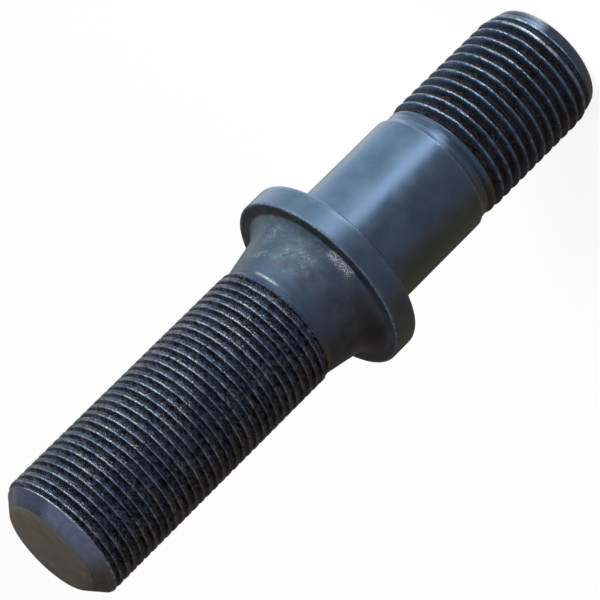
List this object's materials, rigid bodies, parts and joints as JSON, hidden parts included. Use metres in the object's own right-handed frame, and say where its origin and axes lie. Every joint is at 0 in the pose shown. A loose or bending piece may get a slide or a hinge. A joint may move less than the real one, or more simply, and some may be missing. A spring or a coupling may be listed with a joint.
{
  "type": "wheel stud",
  "caption": "Double-ended wheel stud: a threaded hub end, a plain shank, a seating collar with a flare, and a long fine-threaded wheel end.",
  "frame": {"origin": "centre of the hub end's flat face, which the stud stands on", "axes": "+Z along the stud's axis from the hub end to the wheel end; X and Y are free, because the stud is round"},
  "size_m": [0.032, 0.032, 0.1148],
  "materials": {
    "blackened_steel": "forged and turned steel with a blue-black oxide finish, lightly oiled, bare steel showing along the thread crests"
  },
  "bodies": {
    "root": {"wheel_stud": "blackened_steel"}
  },
  "joints": []
}
